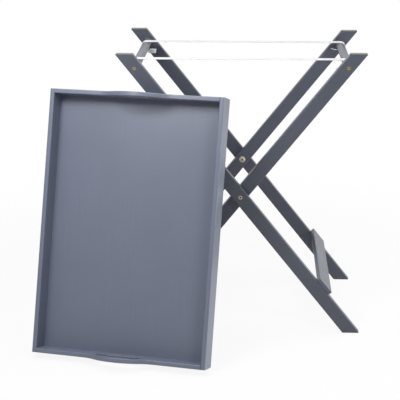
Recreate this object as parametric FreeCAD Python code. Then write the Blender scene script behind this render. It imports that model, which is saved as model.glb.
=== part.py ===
import FreeCAD, Part
import math
import os

# Butler's tray table: a folding X-stand of painted wood with two webbing straps, and a handled
# tray that is stored standing on the floor, leaning against the stand's front leg.
# Millimetres, +Z up, +X to the right and +Y to the back. The model is made with the stand's pivot
# axis over x = 0 and its middle at y = 0, and is then moved so that the origin lies on the floor
# under the middle of the whole table.

Vector = FreeCAD.Vector

# Stand
stand_height = 590.0          # floor to leg tops
stand_depth = 338.0           # over the outer faces of the outer legs
leg_tilt = 38.5               # degrees from upright, with the straps taut
leg_width = 28.0
leg_thickness = 15.0
leg_round = 1.5               # radius on every edge of a leg
leg_gap = 1.0                 # between an outer leg and the inner leg beside it

# Top dowels, which carry the straps
dowel_diameter = 18.0
dowel_drop = 29.0             # leg top down to dowel axis
dowel_offset = 1.6            # leg's centreline to dowel axis, towards the leg's lower edge
dowel_socket_depth = 6.0      # how far a dowel end goes into its leg
dowel_round = 0.8             # radius on the dowel's ends

# Countersunk screws through the legs into the dowel ends
screw_head_diameter = 7.0
screw_head_depth = 2.6
screw_shank_diameter = 3.6
screw_length = 32.0
screw_tip_length = 4.0
screw_recess_length = 3.6     # each arm of the cross recess, end to end
screw_recess_width = 0.9
screw_recess_depth = 1.4

# Bottom rails, flat boards glued and pinned to the legs' upper edges
rail_width = 40.0
rail_thickness = 9.0
rail_round = 1.5
rail_distance = 260.0         # pivot axis down along the leg to the rail's middle
rail_pin_diameter = 6.0
rail_pin_in_rail = 6.0
rail_pin_in_leg = 16.0
rail_pin_spacing = 20.0

# Pivots: a bolt from inside each pair of legs into an insert nut in the outer leg
bolt_diameter = 6.0
bolt_head_diameter = 9.5
bolt_head_height = 3.0
bolt_head_edge = 1.2          # chamfer round the head's face
bolt_end_chamfer = 0.6
bolt_in_nut = 6.0             # thread engagement
nut_diameter = 8.0
nut_length = 11.0
hex_key_size = 4.0            # across the flats of the keyed sockets
hex_key_depth = 2.0           # in a bolt head
head_washer_diameter = 14.0
head_washer_thickness = 1.2
spacer_washer_diameter = 18.0

# Webbing straps
strap_width = 20.0
strap_thickness = 1.0
strap_leg_gap = 23.0          # between a strap's edge and the inner leg beside it
strap_tail = 22.0             # free end that runs back under the top run, from the dowel axis
strap_gap = 0.3               # between the webbing and the wood or tack it lies on
tack_shank_diameter = 1.6
tack_shank_length = 8.0       # from under the head
tack_head_diameter = 6.0
tack_head_height = 1.2
tack_head_edge = 0.6
tack_spacing = 10.0

# Tray
wall_thickness = 9.0
wall_height = 50.0            # side walls, from their lower edges to their rims
base_thickness = 5.0
base_recess = 3.0             # wall's lower edge up to the underside of the base
groove_depth = 4.0            # the base's edge is let into the walls by this groove
side_lip_gap = 1.0            # between the stand's outer legs and the side walls, tray in use
end_lip_gap = 3.5             # between the stand's leg tops and the end walls, tray in use
rim_round = 2.0               # radius on rims, hand slots and corners
corner_pin_diameter = 4.0
corner_pin_in_side = 5.0
corner_pin_in_end = 16.0
corner_pin_rise = 10.0        # base up to the lower pin
corner_pin_drop = 12.0        # rim down to the upper pin

# Raised camel-back in the middle of each end wall, with a hand slot
handle_span = 144.0
handle_rise = 27.0            # above the side walls' rims
handle_crown_share = 0.7      # of the two radii in each S-shaped flank, the part that is crown
handle_grip = 19.0            # wood over the slot
slot_shoulder = 27.0          # camel-back's end to the slot's end
slot_height = 24.0

# Where the tray stands
tray_lean = 16.9              # degrees back from upright
tray_turn = -12.1             # degrees about the upright axis
tray_corner_x = -403.8        # lower back left corner of the tray, from the pivot axis
tray_leg_gap = 0.3            # between the tray and the leg that it leans on

# Fits
glue_gap = 0.05               # round and beside glued, screwed or pressed pieces
pin_end_gap = 0.5             # past the end of a pin or screw in its hole
running_gap = 0.08            # round a bolt in the leg that turns on it
side_gap = 0.1                # between a turning leg and the washer beside it

# Worked out from the sizes above
pivot_height = stand_height / 2
tilt = math.radians(leg_tilt)
leg_half_span = leg_width / 2 / math.cos(tilt)
dowel_height = stand_height - dowel_drop
outer_face = stand_depth / 2
outer_inside = outer_face - leg_thickness
inner_face = outer_inside - leg_gap
inner_inside = inner_face - leg_thickness
strap_offset = inner_inside - strap_leg_gap - strap_width / 2
strap_inner_radius = dowel_diameter / 2 + strap_gap
strap_outer_radius = strap_inner_radius + strap_thickness

# The outer legs have their tops to the left, the inner legs to the right
outer_side = -1
inner_side = 1
front = -1
back = 1


def centreline_x(side, height):
    return side * math.tan(tilt) * (height - pivot_height)


def up_leg(side):
    return Vector(side * math.sin(tilt), 0, math.cos(tilt))


def upper_edge_normal(side):
    return Vector(-side * math.cos(tilt), 0, math.sin(tilt))


def prism(points, direction):
    # A flat outline of straight edges, pushed out along a direction
    outline = Part.makePolygon(points + points[:1])
    return Part.Face(outline).extrude(direction)


def turned(profile, base, axis):
    # A solid of revolution: the profile's points are (radius, distance along the axis)
    points = [Vector(radius, 0, along) for radius, along in profile]
    outline = Part.makePolygon(points + points[:1])
    solid = Part.Face(outline).revolve(Vector(0, 0, 0), Vector(0, 0, 1), 360)
    solid.Placement = FreeCAD.Placement(base, FreeCAD.Rotation(Vector(0, 0, 1), axis))
    return solid


def rod(radius, start, end):
    return Part.makeCylinder(radius, (end - start).Length, start, end - start)


def hex_rod(across_flats, start, end):
    corner = across_flats / math.sqrt(3)
    angles = [math.radians(60 * turn) for turn in range(6)]
    points = [Vector(corner * math.cos(angle), corner * math.sin(angle), 0) for angle in angles]
    solid = prism(points, Vector(0, 0, (end - start).Length))
    solid.Placement = FreeCAD.Placement(start, FreeCAD.Rotation(Vector(0, 0, 1), end - start))
    return solid


def spaced(middle, step):
    return [middle - step / 2, middle + step / 2]


# Stand: legs
def leg(side, near_face, end):
    # near_face is the distance of the leg's outer face from the middle of the stand
    top = centreline_x(side, stand_height)
    foot = centreline_x(side, 0)
    far_face = end * (near_face - leg_thickness)
    outline = [
        Vector(foot - leg_half_span, far_face, 0),
        Vector(foot + leg_half_span, far_face, 0),
        Vector(top + leg_half_span, far_face, stand_height),
        Vector(top - leg_half_span, far_face, stand_height),
    ]
    bar = prism(outline, Vector(0, end * leg_thickness, 0))
    bar = bar.makeFillet(leg_round, bar.Edges)
    bar = bar.cut(dowel_socket(side, near_face, end))
    bar = bar.cut(dowel_screw(side, near_face, end, glue_gap))
    for hole in rail_pins_at(side, near_face, end, glue_gap, pin_end_gap):
        bar = bar.cut(hole)
    return bar


def dowel_axis(side, depth):
    outward = side * dowel_offset / math.cos(tilt)
    return Vector(centreline_x(side, dowel_height) + outward, depth, dowel_height)


def dowel_socket(side, near_face, end):
    inside = near_face - leg_thickness
    mouth = dowel_axis(side, end * inside)
    bottom = dowel_axis(side, end * (inside + dowel_socket_depth))
    return rod(dowel_diameter / 2 + glue_gap, mouth, bottom)


def outer_leg(end):
    bar = leg(outer_side, outer_face, end)
    nut_bottom = outer_face - nut_length - glue_gap
    bar = bar.cut(rod(nut_diameter / 2 + glue_gap, pivot(end * nut_bottom), pivot(end * outer_face)))
    return bar.cut(rod(bolt_diameter / 2 + glue_gap, pivot(end * outer_inside), pivot(end * nut_bottom)))


def inner_leg(end):
    bar = leg(inner_side, inner_face, end)
    return bar.cut(rod(bolt_diameter / 2 + running_gap, pivot(end * inner_inside), pivot(end * inner_face)))


# Stand: dowels and their screws
def top_dowel(side, near_face):
    half_length = near_face - leg_thickness + dowel_socket_depth - glue_gap
    bar = rod(dowel_diameter / 2, dowel_axis(side, -half_length), dowel_axis(side, half_length))
    rims = [edge for edge in bar.Edges if edge.BoundBox.YLength < glue_gap]
    bar = bar.makeFillet(dowel_round, rims)
    for end in (front, back):
        bar = bar.cut(dowel_screw(side, near_face, end, glue_gap))
        for tack in strap_tacks_at(side, end, glue_gap):
            bar = bar.cut(tack)
    return bar


def dowel_screw(side, near_face, end, gap):
    head = screw_head_diameter / 2 + gap
    shank = screw_shank_diameter / 2 + gap
    profile = [
        (0, 0),
        (head, 0),
        (shank, screw_head_depth + gap),
        (shank, screw_length - screw_tip_length + gap),
        (0, screw_length + gap),
    ]
    return turned(profile, dowel_axis(side, end * near_face), Vector(0, -end, 0))


def recessed_screw(side, near_face, end):
    screw = dowel_screw(side, near_face, end, 0)
    middle = dowel_axis(side, end * (near_face - screw_recess_depth / 2))
    for long_way, high_way in (
        (screw_recess_length, screw_recess_width),
        (screw_recess_width, screw_recess_length),
    ):
        corner = middle - Vector(long_way / 2, screw_recess_depth / 2, high_way / 2)
        screw = screw.cut(Part.makeBox(long_way, screw_recess_depth, high_way, corner))
    return screw


def dowel_screws(side, near_face):
    return [recessed_screw(side, near_face, end) for end in (front, back)]


# Stand: bottom rails and their pins
def rail_seat(side, depth):
    # On the leg's upper edge, where the middle of the rail's underside lies
    along = pivot(depth) - up_leg(side) * rail_distance
    return along + upper_edge_normal(side) * (leg_width / 2)


def bottom_rail(side, near_face):
    seat = rail_seat(side, -near_face)
    half_width = up_leg(side) * (rail_width / 2)
    rise = upper_edge_normal(side) * rail_thickness
    outline = [seat - half_width, seat + half_width, seat + half_width + rise, seat - half_width + rise]
    board = prism(outline, Vector(0, 2 * near_face, 0))
    board = board.makeFillet(rail_round, board.Edges)
    for end in (front, back):
        for hole in rail_pins_at(side, near_face, end, glue_gap, pin_end_gap):
            board = board.cut(hole)
    return board


def rail_pins_at(side, near_face, end, gap, end_gap):
    normal = upper_edge_normal(side)
    seat = rail_seat(side, end * (near_face - leg_thickness / 2))
    pins = []
    for shift in spaced(0, rail_pin_spacing):
        middle = seat + up_leg(side) * shift
        bottom = middle - normal * (rail_pin_in_leg + end_gap)
        top = middle + normal * (rail_pin_in_rail + end_gap)
        pins.append(rod(rail_pin_diameter / 2 + gap, bottom, top))
    return pins


def rail_pins(side, near_face):
    pins = rail_pins_at(side, near_face, front, 0, 0)
    return pins + rail_pins_at(side, near_face, back, 0, 0)


# Stand: pivots
def pivot(depth):
    return Vector(0, depth, pivot_height)


def washer_face():
    # The head washer's face that lies beside the turning inner leg
    return inner_inside - side_gap


def pivot_bolt(end):
    under_head = washer_face() - head_washer_thickness
    head_face = under_head - bolt_head_height
    tip = outer_face - nut_length + bolt_in_nut - head_face
    head = bolt_head_diameter / 2
    shank = bolt_diameter / 2
    profile = [
        (0, 0),
        (head - bolt_head_edge, 0),
        (head, bolt_head_edge),
        (head, bolt_head_height),
        (shank, bolt_head_height),
        (shank, tip - bolt_end_chamfer),
        (shank - bolt_end_chamfer, tip),
        (0, tip),
    ]
    bolt = turned(profile, pivot(end * head_face), Vector(0, end, 0))
    socket_bottom = pivot(end * (head_face + hex_key_depth))
    return bolt.cut(hex_rod(hex_key_size, pivot(end * head_face), socket_bottom))


def pivot_nut(end):
    bottom = pivot(end * (outer_face - nut_length))
    mouth = pivot(end * outer_face)
    nut = rod(nut_diameter / 2, bottom, mouth)
    thread_end = bottom + Vector(0, end * (bolt_in_nut + pin_end_gap), 0)
    nut = nut.cut(rod(bolt_diameter / 2 + glue_gap, bottom, thread_end))
    return nut.cut(hex_rod(hex_key_size, thread_end, mouth))


def washer(diameter, thickness, face, end, bore_gap):
    # Lies with its outward face at this distance from the middle of the stand
    outward = pivot(end * face)
    inward = pivot(end * (face - thickness))
    disc = rod(diameter / 2, inward, outward)
    return disc.cut(rod(bolt_diameter / 2 + bore_gap, inward, outward))


def head_washers():
    return [
        washer(head_washer_diameter, head_washer_thickness, washer_face(), end, glue_gap)
        for end in (front, back)
    ]


def spacer_washers():
    thickness = leg_gap - side_gap
    return [
        washer(spacer_washer_diameter, thickness, outer_inside, end, glue_gap)
        for end in (front, back)
    ]


# Straps and their tacks
def strap(end):
    # One band: a tail under the left dowel, round it, across, round the right dowel, a tail under it
    edge = end * strap_offset - strap_width / 2
    left = dowel_axis(outer_side, edge).x
    right = dowel_axis(inner_side, edge).x

    def at(x, rise):
        return Vector(x, edge, dowel_height + rise)

    def half_turn(x, radius, outward, start):
        points = at(x, start * radius), at(x + outward * radius, 0), at(x, -start * radius)
        return Part.Arc(*points).toShape()

    inside = strap_inner_radius
    outside = strap_outer_radius
    left_tail = left + strap_tail
    right_tail = right - strap_tail
    outline = Part.Wire([
        Part.makeLine(at(left_tail, -outside), at(left, -outside)),
        half_turn(left, outside, outer_side, -1),
        Part.makeLine(at(left, outside), at(right, outside)),
        half_turn(right, outside, inner_side, 1),
        Part.makeLine(at(right, -outside), at(right_tail, -outside)),
        Part.makeLine(at(right_tail, -outside), at(right_tail, -inside)),
        Part.makeLine(at(right_tail, -inside), at(right, -inside)),
        half_turn(right, inside, inner_side, -1),
        Part.makeLine(at(right, inside), at(left, inside)),
        half_turn(left, inside, outer_side, 1),
        Part.makeLine(at(left, -inside), at(left_tail, -inside)),
        Part.makeLine(at(left_tail, -inside), at(left_tail, -outside)),
    ])
    band = Part.Face(outline).extrude(Vector(0, strap_width, 0))
    for side in (outer_side, inner_side):
        for tack in strap_tacks_at(side, end, strap_gap):
            band = band.cut(tack)
    return band


def strap_tacks_at(side, end, gap):
    # Driven up through the strap into the underside of the dowel
    head = tack_head_diameter / 2 + gap
    shank = tack_shank_diameter / 2 + gap
    profile = [
        (0, 0),
        (head - tack_head_edge, 0),
        (head, tack_head_edge),
        (head, tack_head_height),
        (shank, tack_head_height),
        (shank, tack_head_height + tack_shank_length + gap),
        (0, tack_head_height + tack_shank_length + gap),
    ]
    drop = strap_outer_radius + strap_gap + tack_head_height
    return [
        turned(profile, dowel_axis(side, depth) - Vector(0, 0, drop), Vector(0, 0, 1))
        for depth in spaced(end * strap_offset, tack_spacing)
    ]


def strap_tacks(side):
    return strap_tacks_at(side, front, 0) + strap_tacks_at(side, back, 0)


# Tray, made lying flat: x across, y along from the lower end, z up from the walls' lower edges
leg_top_span = 2 * (centreline_x(inner_side, stand_height) + leg_half_span)
tray_inner_width = stand_depth + 2 * side_lip_gap
tray_inner_length = leg_top_span + 2 * end_lip_gap
tray_width = tray_inner_width + 2 * wall_thickness
tray_length = tray_inner_length + 2 * wall_thickness
base_top = base_recess + base_thickness
corner_pin_heights = (base_top + corner_pin_rise, wall_height - corner_pin_drop)


def base_panel(gap):
    # With a gap it is the cutter for the grooves
    reach = groove_depth - glue_gap + gap
    corner = Vector(wall_thickness - reach, wall_thickness - reach, base_recess - gap)
    width = tray_inner_width + 2 * reach
    length = tray_inner_length + 2 * reach
    return Part.makeBox(width, length, base_thickness + 2 * gap, corner)


def side_wall(left_edge):
    wall = Part.makeBox(wall_thickness, tray_length, wall_height, Vector(left_edge, 0, 0))
    rim = [edge for edge in wall.Edges if edge.BoundBox.ZMin > wall_height - rim_round]
    wall = wall.makeFillet(rim_round, rim)
    wall = wall.cut(base_panel(glue_gap))
    for pin in corner_pins(glue_gap, pin_end_gap):
        wall = wall.cut(pin)
    return wall


def camel_back_outline():
    # Each flank is two arcs: a hollow foot that leaves the rim level, and half of the crown
    middle = tray_width / 2
    half_span = handle_span / 2
    turn = 2 * math.atan(handle_rise / half_span)
    both_radii = half_span / math.sin(turn)
    crown_radius = handle_crown_share * both_radii
    foot_radius = both_radii - crown_radius
    crown = wall_height + handle_rise

    def at(across, height):
        return Vector(middle + across, 0, height)

    def foot_point(side, angle):
        across = side * (half_span - foot_radius * math.sin(angle))
        return at(across, wall_height + foot_radius * (1 - math.cos(angle)))

    def foot(side):
        points = foot_point(side, 0), foot_point(side, turn / 2), foot_point(side, turn)
        return Part.Arc(*points).toShape()

    inner_half = tray_inner_width / 2
    return Part.Wire([
        Part.makeLine(at(inner_half, 0), at(-inner_half, 0)),
        Part.makeLine(at(-inner_half, 0), at(-inner_half, wall_height)),
        Part.makeLine(at(-inner_half, wall_height), foot_point(-1, 0)),
        foot(-1),
        Part.Arc(foot_point(-1, turn), at(0, crown), foot_point(1, turn)).toShape(),
        foot(1),
        Part.makeLine(foot_point(1, 0), at(inner_half, wall_height)),
        Part.makeLine(at(inner_half, wall_height), at(inner_half, 0)),
    ])


def hand_slot():
    middle = tray_width / 2
    radius = slot_height / 2
    centre = wall_height + handle_rise - handle_grip - radius
    straight = handle_span / 2 - slot_shoulder - radius

    def at(across, height):
        return Vector(middle + across, 0, centre + height)

    outline = Part.Wire([
        Part.makeLine(at(-straight, radius), at(straight, radius)),
        Part.Arc(at(straight, radius), at(straight + radius, 0), at(straight, -radius)).toShape(),
        Part.makeLine(at(straight, -radius), at(-straight, -radius)),
        Part.Arc(at(-straight, -radius), at(-straight - radius, 0), at(-straight, radius)).toShape(),
    ])
    return Part.Face(outline).extrude(Vector(0, wall_thickness, 0))


def end_wall(near_edge):
    wall = Part.Face(camel_back_outline()).extrude(Vector(0, wall_thickness, 0))
    wall = wall.cut(hand_slot())
    # Rim and slot edges lie in the two broad faces, above the base and off the wall's two ends
    inner_half = tray_inner_width / 2
    rounded = []
    for edge in wall.Edges:
        box = edge.BoundBox
        across = abs(box.Center.x - tray_width / 2)
        if box.YLength < rim_round and box.ZMin > base_top and across < inner_half - rim_round:
            rounded.append(edge)
    wall = wall.makeFillet(rim_round, rounded)
    wall.translate(Vector(0, near_edge, 0))
    wall = wall.cut(base_panel(glue_gap))
    for pin in corner_pins(glue_gap, pin_end_gap):
        wall = wall.cut(pin)
    return wall


def corner_pins(gap, end_gap):
    pins = []
    for joint, inward in ((wall_thickness, 1), (tray_width - wall_thickness, -1)):
        for along in (wall_thickness / 2, tray_length - wall_thickness / 2):
            for height in corner_pin_heights:
                start = Vector(joint - inward * (corner_pin_in_side + end_gap), along, height)
                end = Vector(joint + inward * (corner_pin_in_end + end_gap), along, height)
                pins.append(rod(corner_pin_diameter / 2 + gap, start, end))
    return pins


def tray_place():
    # The tray stands on its lower back edge. Its upper back edge meets the flat outer face of the
    # front outer leg, beside that face's left edge. A tray taller than the stand meets the top of
    # that face with the underside of its base
    lean = FreeCAD.Rotation(Vector(1, 0, 0), 90 - tray_lean)
    turn = FreeCAD.Rotation(Vector(0, 0, 1), tray_turn)
    rotation = turn.multiply(lean)
    across = rotation.multVec(Vector(1, 0, 0))
    up_tray = rotation.multVec(Vector(0, 1, 0))
    leg_flat_top = stand_height - leg_round
    contact = up_tray * tray_length
    if contact.z > leg_flat_top:
        underside = rotation.multVec(Vector(0, 0, base_recess))
        contact = underside + up_tray * ((leg_flat_top - underside.z) / up_tray.z)
    flat_half = (leg_width / 2 - leg_round) / math.cos(tilt)
    contact_x = centreline_x(outer_side, contact.z) - flat_half
    contact_across = (contact_x - tray_corner_x - contact.x) / across.x
    contact_y = -outer_face - tray_leg_gap
    corner_y = contact_y - contact.y - contact_across * across.y
    return FreeCAD.Placement(Vector(tray_corner_x, corner_y, 0), rotation)


def leaning(solids):
    for solid in solids:
        solid.Placement = tray_place().multiply(solid.Placement)
    return solids


stand_nodes = {
    "outer_leg_front": [outer_leg(front)],
    "outer_leg_back": [outer_leg(back)],
    "outer_top_dowel": [top_dowel(outer_side, outer_face)],
    "outer_bottom_rail": [bottom_rail(outer_side, outer_face)],
    "outer_dowel_screws": dowel_screws(outer_side, outer_face),
    "outer_rail_pins": rail_pins(outer_side, outer_face),
    "outer_strap_tacks": strap_tacks(outer_side),
    "inner_leg_front": [inner_leg(front)],
    "inner_leg_back": [inner_leg(back)],
    "inner_top_dowel": [top_dowel(inner_side, inner_face)],
    "inner_bottom_rail": [bottom_rail(inner_side, inner_face)],
    "inner_dowel_screws": dowel_screws(inner_side, inner_face),
    "inner_rail_pins": rail_pins(inner_side, inner_face),
    "inner_strap_tacks": strap_tacks(inner_side),
    "pivot_bolt_front": [pivot_bolt(front)],
    "pivot_bolt_back": [pivot_bolt(back)],
    "pivot_nut_front": [pivot_nut(front)],
    "pivot_nut_back": [pivot_nut(back)],
    "pivot_head_washers": head_washers(),
    "pivot_spacer_washers": spacer_washers(),
    "strap_front": [strap(front)],
    "strap_back": [strap(back)],
}

tray_nodes = {
    "tray_base": [base_panel(0)],
    "tray_side_left": [side_wall(0)],
    "tray_side_right": [side_wall(tray_width - wall_thickness)],
    "tray_end_bottom": [end_wall(0)],
    "tray_end_top": [end_wall(tray_length - wall_thickness)],
    "tray_corner_pins": corner_pins(0, 0),
}

nodes = dict(stand_nodes)
for name, solids in tray_nodes.items():
    nodes[name] = leaning(solids)

# Move the whole table so that the origin is on the floor under its middle
whole = Part.makeCompound([solid for solids in nodes.values() for solid in solids])
box = whole.optimalBoundingBox(False, False)
origin_shift = Vector(-box.Center.x, -box.Center.y, -box.ZMin)

os.makedirs("parts", exist_ok=True)
for name, solids in nodes.items():
    for solid in solids:
        solid.translate(origin_shift)
    shape = solids[0] if len(solids) == 1 else Part.makeCompound(solids)
    shape.exportStep("parts/" + name + ".step")

print("nodes", len(nodes), "solids", sum(len(solids) for solids in nodes.values()))
print("size", round(box.XLength, 2), round(box.YLength, 2), round(box.ZLength, 2))
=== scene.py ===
import math
import bmesh
import bpy
from mathutils import Matrix, Vector


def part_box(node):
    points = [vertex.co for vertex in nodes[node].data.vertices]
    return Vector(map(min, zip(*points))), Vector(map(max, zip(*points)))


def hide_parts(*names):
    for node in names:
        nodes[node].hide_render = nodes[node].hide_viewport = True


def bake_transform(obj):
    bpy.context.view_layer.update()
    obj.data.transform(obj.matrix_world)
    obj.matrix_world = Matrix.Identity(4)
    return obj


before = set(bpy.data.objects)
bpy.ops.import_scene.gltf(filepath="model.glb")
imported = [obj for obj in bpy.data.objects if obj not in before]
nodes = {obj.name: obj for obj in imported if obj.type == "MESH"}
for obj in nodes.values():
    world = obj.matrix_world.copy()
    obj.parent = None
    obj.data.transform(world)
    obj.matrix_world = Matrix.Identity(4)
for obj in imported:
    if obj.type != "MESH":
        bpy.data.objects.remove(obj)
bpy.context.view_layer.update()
scene = bpy.context.scene
mm = 0.001
print("frame loaded:", len(nodes), "nodes")


# Camera, at the photograph's place and angle
shot = {
    "place": (0.1117, -2.4967, 1.0257),
    "turnLeft": 2.653,    # degrees
    "lookDown": 16.759,
    "roll": -0.132,
    "lens": 112.14,       # mm, on a 36 mm wide sensor
    "sensor": 36,
}
cameraData = bpy.data.cameras.new("studioCamera")
cameraData.sensor_width = shot["sensor"]
cameraData.lens = shot["lens"]
camera = bpy.data.objects.new("studioCamera", cameraData)
scene.collection.objects.link(camera)
camera.matrix_world = (
    Matrix.Translation(shot["place"])
    @ Matrix.Rotation(math.radians(shot["turnLeft"]), 4, "Z")
    @ Matrix.Rotation(math.radians(90 - shot["lookDown"]), 4, "X")
    @ Matrix.Rotation(math.radians(shot["roll"]), 4, "Z")
)
scene.camera = camera
print("camera set")


# Small helpers for materials. A colour Mix node takes its share at 0, its colours at 6 and 7, and gives 2
def linear(hexColour):
    # sRGB hex to the linear colour that the shaders take
    channels = [int(hexColour[i:i + 2], 16) / 255 for i in (1, 3, 5)]
    return [c / 12.92 if c <= 0.04045 else ((c + 0.055) / 1.055) ** 2.4 for c in channels] + [1]


def addNode(tree, kind, settings=None, links=None):
    node = tree.nodes.new(kind)
    for key, value in (settings or {}).items():
        if isinstance(key, int) or key in node.inputs:
            node.inputs[key].default_value = value
        else:
            setattr(node, key, value)
    for key, source in (links or {}).items():
        tree.links.new(source, node.inputs[key])
    return node


def newMaterial(name):
    material = bpy.data.materials.new(name)
    material.use_nodes = True
    tree = material.node_tree
    return material, tree, tree.nodes["Principled BSDF"]


def dress(material, *names):
    for name in names:
        nodes[name].data.materials.clear()
        nodes[name].data.materials.append(material)


# Satin slate-blue paint, brushed on planed hardwood: even colour with faint streaks along the grain,
# the wood's pores showing through as shallow lines, and paler edges: partly thinner paint, partly a painted
# highlight
paint = {
    "tray": {"colour": "#6f7587", "streak": "#686e80", "rubbedAndHighlit": "#9297a4", "cut": "#6c6f74"},
    # the legs and rails take a darker paint than the tray
    "leg": {"colour": "#4f5460", "streak": "#474b57", "rubbedAndHighlit": "#70757f", "cut": "#57553f"},
    "rail": {"colour": "#4f5460", "streak": "#474b57", "rubbedAndHighlit": "#70757f", "cut": "#545866"},
    "ior": 1.48,
    "smooth": 0.30,
    "rough": 0.42,
    "grainWidth": 3.0,            # mm; real pores are under 0.5 mm, drawn wider so that they show
    "grainLength": 90.0,
    "grainDetail": 5,
    "grainBreak": 0.62,           # how broken the fibres look
    "glossRange": (0.3, 0.7),     # of the grain's noise, from smooth to rough
    "streakRange": (0.42, 0.68),  # of the grain's noise, from no streak to a full one
    "streakShare": 0.55,
    "mottleSize": 70.0,           # mm
    "mottleDetail": 3,
    "mottleRange": (0.35, 0.65),
    "mottleShare": 0.45,
    "edgeReach": 3.0,             # mm that the pale edge, rubbed paint and painted highlight, reaches in from an edge
    "edgeRays": 8,
    "edgeRange": (0.80, 0.45),    # share of free rays, from no pale edge to the palest
    "edgeShare": 0.45,
    "cutRange": (0.66, 0.76),     # how squarely a face looks along the board, from side to cut end
    "poreDepth": 0.12,            # mm
    "poreStrength": 0.35,
    "slot": "#383d4c",            # inside the hand slots, in place of a deeper shadow
    "slotReach": 30.0,            # mm over which a slot counts as closed in
    "slotRays": 8,
    "slotRange": (1, 0.8),        # share of free rays, from an open face to the inside of a slot
}


def paintedWood(name, tones, along, side):
    # The grain runs along the board: pattern x follows it
    along = Vector(along).normalized()
    side = Vector(side).normalized()
    toBoard = Matrix((along, side, along.cross(side))).to_euler()
    material, tree, shader = newMaterial(name)
    place = addNode(tree, "ShaderNodeTexCoord")
    board = addNode(tree, "ShaderNodeMapping", {"Rotation": toBoard}, {"Vector": place.outputs["Object"]})
    fibres = addNode(
        tree, "ShaderNodeVectorMath",
        {"operation": "MULTIPLY", 1: (paint["grainWidth"] / paint["grainLength"], 1, 1)},
        {0: board.outputs[0]},
    )
    grain = addNode(
        tree, "ShaderNodeTexNoise",
        {
            "Scale": 1 / (paint["grainWidth"] * mm), "Detail": paint["grainDetail"],
            "Roughness": paint["grainBreak"],
        },
        {"Vector": fibres.outputs[0]},
    )
    mottle = addNode(
        tree, "ShaderNodeTexNoise",
        {"Scale": 1 / (paint["mottleSize"] * mm), "Detail": paint["mottleDetail"]},
        {"Vector": board.outputs[0]},
    )
    streaks = addNode(
        tree, "ShaderNodeMapRange",
        {
            "From Min": paint["streakRange"][0], "From Max": paint["streakRange"][1],
            "To Max": paint["streakShare"],
        },
        {"Value": grain.outputs["Fac"]},
    )
    patches = addNode(
        tree, "ShaderNodeMapRange",
        {
            "From Min": paint["mottleRange"][0], "From Max": paint["mottleRange"][1],
            "To Max": paint["mottleShare"],
        },
        {"Value": mottle.outputs["Fac"]},
    )
    darker = addNode(
        tree, "ShaderNodeMath", {"operation": "MAXIMUM"},
        {0: streaks.outputs[0], 1: patches.outputs[0]},
    )
    coat = addNode(
        tree, "ShaderNodeMix",
        {"data_type": "RGBA", 6: linear(tones["colour"]), 7: linear(tones["streak"])},
        {0: darker.outputs[0]},
    )
    # Rays that start inside the board meet another face soon only beside an edge, which turns paler there:
    # partly rubbed paint, partly a painted highlight
    nearEdge = addNode(
        tree, "ShaderNodeAmbientOcclusion",
        {
            "inside": True, "only_local": True, "samples": paint["edgeRays"],
            "Distance": paint["edgeReach"] * mm,
        },
    )
    edgeWearAndHighlight = addNode(
        tree, "ShaderNodeMapRange",
        {
            "From Min": paint["edgeRange"][0], "From Max": paint["edgeRange"][1],
            "To Max": paint["edgeShare"],
        },
        {"Value": nearEdge.outputs["AO"]},
    )
    patchyWearAndHighlight = addNode(
        tree, "ShaderNodeMath", {"operation": "MULTIPLY"},
        {0: edgeWearAndHighlight.outputs[0], 1: mottle.outputs["Fac"]},
    )
    withWearAndHighlight = addNode(
        tree, "ShaderNodeMix", {"data_type": "RGBA", 7: linear(tones["rubbedAndHighlit"])},
        {0: patchyWearAndHighlight.outputs[0], 6: coat.outputs[2]},
    )
    # End grain drinks the paint, so cut ends have a tone of their own: the faces that look along the board
    lookAlong = addNode(
        tree, "ShaderNodeVectorMath", {"operation": "DOT_PRODUCT", 1: along}, {0: place.outputs["Normal"]},
    )
    eitherEnd = addNode(tree, "ShaderNodeMath", {"operation": "ABSOLUTE"}, {0: lookAlong.outputs["Value"]})
    cutEnd = addNode(
        tree, "ShaderNodeMapRange",
        {"From Min": paint["cutRange"][0], "From Max": paint["cutRange"][1]},
        {"Value": eitherEnd.outputs[0]},
    )
    sawn = addNode(
        tree, "ShaderNodeMix", {"data_type": "RGBA", 7: linear(tones["cut"])},
        {0: cutEnd.outputs[0], 6: withWearAndHighlight.outputs[2]},
    )
    # Painted shade where rays meet the same board again: inside a hand slot, and in bores and grooves,
    # which don't show
    openness = addNode(
        tree, "ShaderNodeAmbientOcclusion",
        {"only_local": True, "samples": paint["slotRays"], "Distance": paint["slotReach"] * mm},
    )
    slotShade = addNode(
        tree, "ShaderNodeMapRange",
        {"From Min": paint["slotRange"][0], "From Max": paint["slotRange"][1]},
        {"Value": openness.outputs["AO"]},
    )
    withSlotShade = addNode(
        tree, "ShaderNodeMix", {"data_type": "RGBA", 7: linear(paint["slot"])},
        {0: slotShade.outputs[0], 6: sawn.outputs[2]},
    )
    gloss = addNode(
        tree, "ShaderNodeMapRange",
        {
            "From Min": paint["glossRange"][0], "From Max": paint["glossRange"][1],
            "To Min": paint["smooth"], "To Max": paint["rough"],
        },
        {"Value": grain.outputs["Fac"]},
    )
    pores = addNode(
        tree, "ShaderNodeBump",
        {"Strength": paint["poreStrength"], "Distance": paint["poreDepth"] * mm},
        {"Height": grain.outputs["Fac"]},
    )
    tree.links.new(withSlotShade.outputs[2], shader.inputs["Base Color"])
    tree.links.new(gloss.outputs[0], shader.inputs["Roughness"])
    tree.links.new(pores.outputs[0], shader.inputs["Normal"])
    shader.inputs["IOR"].default_value = paint["ior"]
    return material


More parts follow.
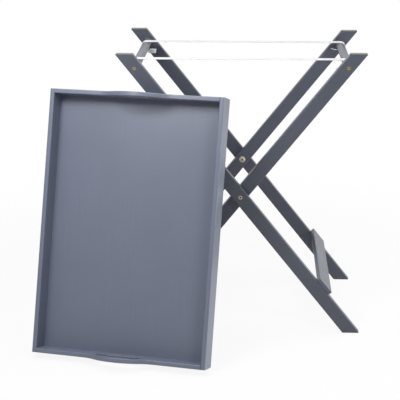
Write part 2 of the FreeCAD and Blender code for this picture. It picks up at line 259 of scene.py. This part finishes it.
# How the boards lie, for their grain
lie = {
    "legTilt": 38.5,      # degrees from upright
    "trayLean": 16.9,
    "trayTurn": -12.1,
}
tilt = math.radians(lie["legTilt"])
acrossStand = (0, 1, 0)
upOuterLeg = (-math.sin(tilt), 0, math.cos(tilt))
upInnerLeg = (math.sin(tilt), 0, math.cos(tilt))
trayPlace = (
    Matrix.Rotation(math.radians(lie["trayTurn"]), 3, "Z")
    @ Matrix.Rotation(math.radians(90 - lie["trayLean"]), 3, "X")
)
acrossTray = trayPlace @ Vector((1, 0, 0))
upTray = trayPlace @ Vector((0, 1, 0))

boards = {
    "paintedOuterLegWood": ("leg", upOuterLeg, acrossStand, ("outer_leg_front", "outer_leg_back")),
    "paintedInnerLegWood": ("leg", upInnerLeg, acrossStand, ("inner_leg_front", "inner_leg_back")),
    "paintedOuterRailWood": ("rail", acrossStand, upOuterLeg, ("outer_bottom_rail", "outer_top_dowel")),
    "paintedInnerRailWood": ("rail", acrossStand, upInnerLeg, ("inner_bottom_rail", "inner_top_dowel")),
    "paintedTrayLongWood": ("tray", upTray, acrossTray, ("tray_side_left", "tray_side_right", "tray_base")),
    "paintedTrayEndWood": ("tray", acrossTray, upTray, ("tray_end_top", "tray_end_bottom")),
}
for name, (tones, along, side, pieces) in boards.items():
    dress(paintedWood(name, paint[tones], along, side), *pieces)
print("paint on the wood")


# Turned or stamped metal: soft gloss, a little blotchy tarnish, and dark painted shade in key sockets,
# slots and close beside other parts
metals = {
    "polishedBrassScrew": {
        "colour": "#a2966a", "tarnish": "#6f663f", "rough": 0.34,
        "nodes": ("outer_dowel_screws", "inner_dowel_screws"),
    },
    "yellowZincSteel": {
        "colour": "#b8b494", "tarnish": "#8c8766", "rough": 0.36,
        "nodes": ("pivot_bolt_front", "pivot_bolt_back", "pivot_nut_front", "pivot_nut_back"),
    },
    "brightZincSteel": {
        "colour": "#d4d4d0", "tarnish": "#a3a29c", "rough": 0.3,
        "nodes": (
            "pivot_head_washers", "pivot_spacer_washers", "outer_strap_tacks", "inner_strap_tacks",
        ),
    },
}
tarnish = {
    "blotch": 2.5,               # mm
    "blotchDetail": 4,
    "blotchRange": (0.45, 0.75),
    "blotchShare": 0.8,
    "smoother": 0.06,            # less rough than the metal where it is bright
    "rougher": 0.14,
    # dark painted shade for recesses
    "recessShade": "#1d1b16",
    "recess": 3.0,               # mm over which a recess counts as closed in
    "recessRays": 8,
    "recessRange": (0.8, 0.45),  # share of free rays, from no painted shade to the most
    "recessShadeShare": 0.9,
}
for name, metal in metals.items():
    material, tree, shader = newMaterial(name)
    place = addNode(tree, "ShaderNodeTexCoord")
    blotch = addNode(
        tree, "ShaderNodeTexNoise",
        {"Scale": 1 / (tarnish["blotch"] * mm), "Detail": tarnish["blotchDetail"]},
        {"Vector": place.outputs["Object"]},
    )
    share = addNode(
        tree, "ShaderNodeMapRange",
        {
            "From Min": tarnish["blotchRange"][0], "From Max": tarnish["blotchRange"][1],
            "To Max": tarnish["blotchShare"],
        },
        {"Value": blotch.outputs["Fac"]},
    )
    tone = addNode(
        tree, "ShaderNodeMix",
        {"data_type": "RGBA", 6: linear(metal["colour"]), 7: linear(metal["tarnish"])},
        {0: share.outputs[0]},
    )
    openness = addNode(
        tree, "ShaderNodeAmbientOcclusion",
        {"samples": tarnish["recessRays"], "Distance": tarnish["recess"] * mm},
    )
    recessShadeAmount = addNode(
        tree, "ShaderNodeMapRange",
        {
            "From Min": tarnish["recessRange"][0], "From Max": tarnish["recessRange"][1],
            "To Max": tarnish["recessShadeShare"],
        },
        {"Value": openness.outputs["AO"]},
    )
    withRecessShade = addNode(
        tree, "ShaderNodeMix", {"data_type": "RGBA", 7: linear(tarnish["recessShade"])},
        {0: recessShadeAmount.outputs[0], 6: tone.outputs[2]},
    )
    dull = addNode(
        tree, "ShaderNodeMapRange",
        {
            "To Min": metal["rough"] - tarnish["smoother"], "To Max": metal["rough"] + tarnish["rougher"],
        },
        {"Value": blotch.outputs["Fac"]},
    )
    tree.links.new(withRecessShade.outputs[2], shader.inputs["Base Color"])
    tree.links.new(dull.outputs[0], shader.inputs["Roughness"])
    shader.inputs["Metallic"].default_value = 1
    dress(material, *metal["nodes"])
print("metal on the fittings")


# Bare turned beech, pale with short dark flecks
beech = {
    "colour": "#c9a173",
    "fleck": "#a47a4e",
    "fleckWidth": 0.8,      # mm
    "fleckDetail": 3,
    "rough": 0.6,
}
material, tree, shader = newMaterial("bareBeechPin")
place = addNode(tree, "ShaderNodeTexCoord")
flecks = addNode(
    tree, "ShaderNodeTexNoise",
    {"Scale": 1 / (beech["fleckWidth"] * mm), "Detail": beech["fleckDetail"]},
    {"Vector": place.outputs["Object"]},
)
tone = addNode(
    tree, "ShaderNodeMix",
    {"data_type": "RGBA", 6: linear(beech["colour"]), 7: linear(beech["fleck"])},
    {0: flecks.outputs["Fac"]},
)
tree.links.new(tone.outputs[2], shader.inputs["Base Color"])
shader.inputs["Roughness"].default_value = beech["rough"]
dress(material, "outer_rail_pins", "inner_rail_pins", "tray_corner_pins")
print("beech on the pins")


# White cotton webbing, woven in herringbone: dull, soft, with slanting ridges that turn back every few mm
webbing = {
    "colour": "#eeeeef",
    # painted shade in the grooves of the weave
    "groove": "#dedee1",
    "ridge": 1.6,           # mm along the strap from ridge to ridge; real threads are 0.6 mm, drawn wider
    "column": 4.0,          # mm across before the slant turns back
    "depth": 0.25,          # mm
    "relief": 0.35,
    "rough": 0.92,
    "specular": 0.25,
    "sheen": 0.2,
}
webbingMaterial, tree, shader = newMaterial("herringboneCottonWebbing")
place = addNode(tree, "ShaderNodeUVMap", {"uv_map": "flatStrap"})
flat = addNode(tree, "ShaderNodeSeparateXYZ", None, {0: place.outputs[0]})
zigzag = addNode(
    tree, "ShaderNodeMath", {"operation": "PINGPONG", 1: webbing["column"] * mm}, {0: flat.outputs["Y"]},
)
slant = addNode(tree, "ShaderNodeMath", {"operation": "ADD"}, {0: flat.outputs["X"], 1: zigzag.outputs[0]})
turns = addNode(
    tree, "ShaderNodeMath", {"operation": "MULTIPLY", 1: 2 * math.pi / (webbing["ridge"] * mm)},
    {0: slant.outputs[0]},
)
wave = addNode(tree, "ShaderNodeMath", {"operation": "SINE"}, {0: turns.outputs[0]})
height = addNode(
    tree, "ShaderNodeMapRange", {"From Min": -1, "From Max": 1}, {"Value": wave.outputs[0]},
)
# darker in the grooves between the ridges: painted shade
tone = addNode(
    tree, "ShaderNodeMix",
    {"data_type": "RGBA", 6: linear(webbing["groove"]), 7: linear(webbing["colour"])},
    {0: height.outputs[0]},
)
ridges = addNode(
    tree, "ShaderNodeBump", {"Strength": webbing["relief"], "Distance": webbing["depth"] * mm},
    {"Height": height.outputs[0]},
)
tree.links.new(tone.outputs[2], shader.inputs["Base Color"])
tree.links.new(ridges.outputs[0], shader.inputs["Normal"])
shader.inputs["Roughness"].default_value = webbing["rough"]
shader.inputs["Specular IOR Level"].default_value = webbing["specular"]
shader.inputs["Sheen Weight"].default_value = webbing["sheen"]


# Straps: one flat strip each, laid over both dowels and back under them, with free tails
strapSizes = {
    "width": 20.0,          # mm
    "thick": 1.0,
    "lift": 0.3,            # clear of the dowel
    "rows": 2.0,            # mm between cross rows round the dowels
    "runRow": 8.0,          # mm between cross rows on the run
    "columns": 10,          # across the width
    "edgeRound": 0.3,       # mm
    "edgeSteps": 2,
    "cornerFrom": 60,       # degrees; sharper edges are rounded
    "smoothTo": 40,         # degrees; flatter edges are shaded smooth
    "twistBy": 7.0,         # mm past the dowel's middle where a tail's twist is full
}
# Each free end: mm past the dowel's middle, mm that it droops, and degrees that its front edge rolls down
tails = {
    "strapFront": {"left": (15.0, 0.5, 2), "right": (22.0, 1.0, 2)},
    "strapBack": {"left": (22.0, 0.5, 17), "right": (22.0, -3.0, -8)},
}


def middleOf(node):
    low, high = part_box(node)
    return (low + high) / 2


def makeStrap(name, cadNode):
    left = middleOf("outer_top_dowel")
    right = middleOf("inner_top_dowel")
    low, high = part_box("inner_top_dowel")
    radius = (high.x - low.x) / 2    # both dowels are the same
    middleY = middleOf(cadNode).y
    wrap = radius + (strapSizes["lift"] + strapSizes["thick"] / 2) * mm
    leftTail = tails[name]["left"][0] * mm
    rightTail = tails[name]["right"][0] * mm
    turn = math.pi * wrap
    run = right.x - left.x
    width = strapSizes["width"] * mm

    # The strip lies flat along x at first, and gets its weave map there
    mesh = bmesh.new()
    flatMap = mesh.loops.layers.uv.new("flatStrap")
    stretches = (leftTail, turn, run, turn, rightTail)
    fine = strapSizes["rows"]
    steps = (fine, fine, strapSizes["runRow"], fine, fine)
    half = width / 2
    edge = []
    for y in (-half, half):
        edge += bmesh.ops.create_vert(mesh, co=(0, y, 0))["vert"]
    front = [mesh.edges.new(edge)]
    bmesh.ops.subdivide_edges(mesh, edges=front, cuts=strapSizes["columns"] - 1)
    front = list(mesh.edges)
    for stretch, step in zip(stretches, steps):
        count = math.ceil(stretch / (step * mm))
        for _ in range(count):
            made = bmesh.ops.extrude_edge_only(mesh, edges=front)["geom"]
            moved = [g for g in made if isinstance(g, bmesh.types.BMVert)]
            bmesh.ops.translate(mesh, vec=(stretch / count, 0, 0), verts=moved)
            front = [g for g in made if isinstance(g, bmesh.types.BMEdge)]
    for face in mesh.faces:
        for loop in face.loops:
            loop[flatMap].uv = (loop.vert.co.x, loop.vert.co.y + half)

    # Then it is laid on its way round the dowels
    def tailPlace(past, across, side):
        # The end rolls about its back edge, and droops more and more towards its tip
        reach, droop, roll = tails[name][side]
        share = min(past / (strapSizes["twistBy"] * mm), 1)
        angle = math.radians(roll) * share * share * (3 - 2 * share)
        lower = droop * mm * (past / (reach * mm)) ** 2
        fromBack = across - half
        return Vector((0, middleY + half + fromBack * math.cos(angle), fromBack * math.sin(angle) - lower))

    for vert in mesh.verts:
        along, across = vert.co.x, vert.co.y
        place = Vector((0, middleY + across, 0))
        if along < leftTail:
            spot = Vector((left.x + leftTail - along, 0, left.z - wrap))
            place = tailPlace(leftTail - along, across, "left")
        elif along < leftTail + turn:
            angle = (along - leftTail) / wrap
            spot = Vector((left.x - wrap * math.sin(angle), 0, left.z - wrap * math.cos(angle)))
        elif along < leftTail + turn + run:
            spot = Vector((left.x + along - leftTail - turn, 0, left.z + wrap))
        elif along < leftTail + 2 * turn + run:
            angle = (along - leftTail - turn - run) / wrap
            spot = Vector((right.x + wrap * math.sin(angle), 0, right.z + wrap * math.cos(angle)))
        else:
            past = along - leftTail - 2 * turn - run
            spot = Vector((right.x - past, 0, right.z - wrap))
            place = tailPlace(past, across, "right")
        vert.co = spot + place

    bmesh.ops.recalc_face_normals(mesh, faces=mesh.faces)
    bmesh.ops.solidify(mesh, geom=mesh.faces[:], thickness=strapSizes["thick"] * mm)
    sharp = math.radians(strapSizes["cornerFrom"])
    corners = [e for e in mesh.edges if e.calc_face_angle(0) > sharp]
    bmesh.ops.bevel(
        mesh, geom=corners, offset=strapSizes["edgeRound"] * mm, affect="EDGES",
        segments=strapSizes["edgeSteps"], profile=0.5, material=-1,
    )
    data = bpy.data.meshes.new(name)
    mesh.to_mesh(data)
    mesh.free()
    data.shade_smooth()
    data.set_sharp_from_angle(angle=math.radians(strapSizes["smoothTo"]))
    data.materials.append(webbingMaterial)
    strap = bpy.data.objects.new(name, data)
    scene.collection.objects.link(strap)
    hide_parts(cadNode)
    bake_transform(strap)


makeStrap("strapFront", "strap_front")
makeStrap("strapBack", "strap_back")


# Studio: a pale floor that runs into a white background, and soft boxes
studio = {
    "white": (1, 1, 1, 1),
    "floorSize": 12.0,       # metres
    "floorColour": "#eeeeec",
    "floorRough": 0.9,
    "nearShare": 0.9,        # how far the floor shows white beside the object, where its shadow lies
    "shadowReach": 0.45,     # metres from the middle where the floor starts to turn fully white
    "whiteFrom": 1.3,
    "ambient": 0.02,
}
# Places and sizes in metres
softBoxes = {
    "softBoxKey": {
        "place": (-0.44, -0.71, 1.02), "aim": (-0.07, -0.12, 0.42), "size": (0.3, 0.3), "watts": 6.8,
    },
    "softBoxFront": {
        "place": (0.57, -0.98, 1.36), "aim": (-0.12, -0.15, 0.32), "size": (0.42, 0.42), "watts": 6.4,
    },
    "softBoxTop": {"place": (0.0, 0.3, 2.7), "aim": (0, 0, 0.2), "size": (1.4, 1.0), "watts": 27},
    "softBoxBack": {"place": (0.2, 0.9, 1.5), "aim": (0, 0, 0.3), "size": (1.5, 1.0), "watts": 5},
    "softBoxRight": {"place": (1.3, -0.05, 0.35), "aim": (0, 0, 0.25), "size": (0.9, 0.6), "watts": 8.5},
}
for name, box in softBoxes.items():
    lampData = bpy.data.lights.new(name, "AREA")
    lampData.shape = "RECTANGLE"
    lampData.size, lampData.size_y = box["size"]
    lampData.energy = box["watts"]
    lamp = bpy.data.objects.new(name, lampData)
    scene.collection.objects.link(lamp)
    lamp.location = box["place"]
    aim = Vector(box["aim"]) - Vector(box["place"])
    lamp.rotation_euler = aim.to_track_quat("-Z", "Y").to_euler()
    lamp.visible_camera = False


def seenRays(tree):
    # Rays that show the background itself: straight from the camera, in gloss or through glass
    path = addNode(tree, "ShaderNodeLightPath")
    either = addNode(
        tree, "ShaderNodeMath", {"operation": "MAXIMUM"},
        {0: path.outputs["Is Camera Ray"], 1: path.outputs["Is Glossy Ray"]},
    )
    return addNode(
        tree, "ShaderNodeMath", {"operation": "MAXIMUM"},
        {0: either.outputs[0], 1: path.outputs["Is Transmission Ray"]},
    ).outputs[0]


world = bpy.data.worlds.new("studioWorld")
scene.world = world
world.use_nodes = True
tree = world.node_tree
white = addNode(tree, "ShaderNodeBackground", {"Color": studio["white"], "Strength": 1})
soft = addNode(tree, "ShaderNodeBackground", {"Color": studio["white"], "Strength": studio["ambient"]})
both = addNode(
    tree, "ShaderNodeMixShader", None, {0: seenRays(tree), 1: soft.outputs[0], 2: white.outputs[0]},
)
tree.links.new(both.outputs[0], tree.nodes["World Output"].inputs["Surface"])

material, tree, shader = newMaterial("paleStudioFloor")
shader.inputs["Base Color"].default_value = linear(studio["floorColour"])
shader.inputs["Roughness"].default_value = studio["floorRough"]
shader.inputs["Specular IOR Level"].default_value = 0
place = addNode(tree, "ShaderNodeTexCoord")
distance = addNode(
    tree, "ShaderNodeVectorMath", {"operation": "LENGTH"}, {0: place.outputs["Object"]},
)
fade = addNode(
    tree, "ShaderNodeMapRange",
    {
        "interpolation_type": "SMOOTHSTEP",
        "From Min": studio["shadowReach"], "From Max": studio["whiteFrom"],
        "To Min": studio["nearShare"],
    },
    {"Value": distance.outputs["Value"]},
)
share = addNode(
    tree, "ShaderNodeMath", {"operation": "MULTIPLY"}, {0: seenRays(tree), 1: fade.outputs[0]},
)
white = addNode(tree, "ShaderNodeEmission", {"Color": studio["white"], "Strength": 1})
both = addNode(
    tree, "ShaderNodeMixShader", None, {0: share.outputs[0], 1: shader.outputs[0], 2: white.outputs[0]},
)
tree.links.new(both.outputs[0], tree.nodes["Material Output"].inputs["Surface"])
mesh = bmesh.new()
bmesh.ops.create_grid(mesh, x_segments=1, y_segments=1, size=studio["floorSize"] / 2)
data = bpy.data.meshes.new("studioFloor")
mesh.to_mesh(data)
mesh.free()
data.materials.append(material)
floor = bpy.data.objects.new("studioFloor", data)
scene.collection.objects.link(floor)
scene.view_settings.view_transform = "Standard"
print("studio set")
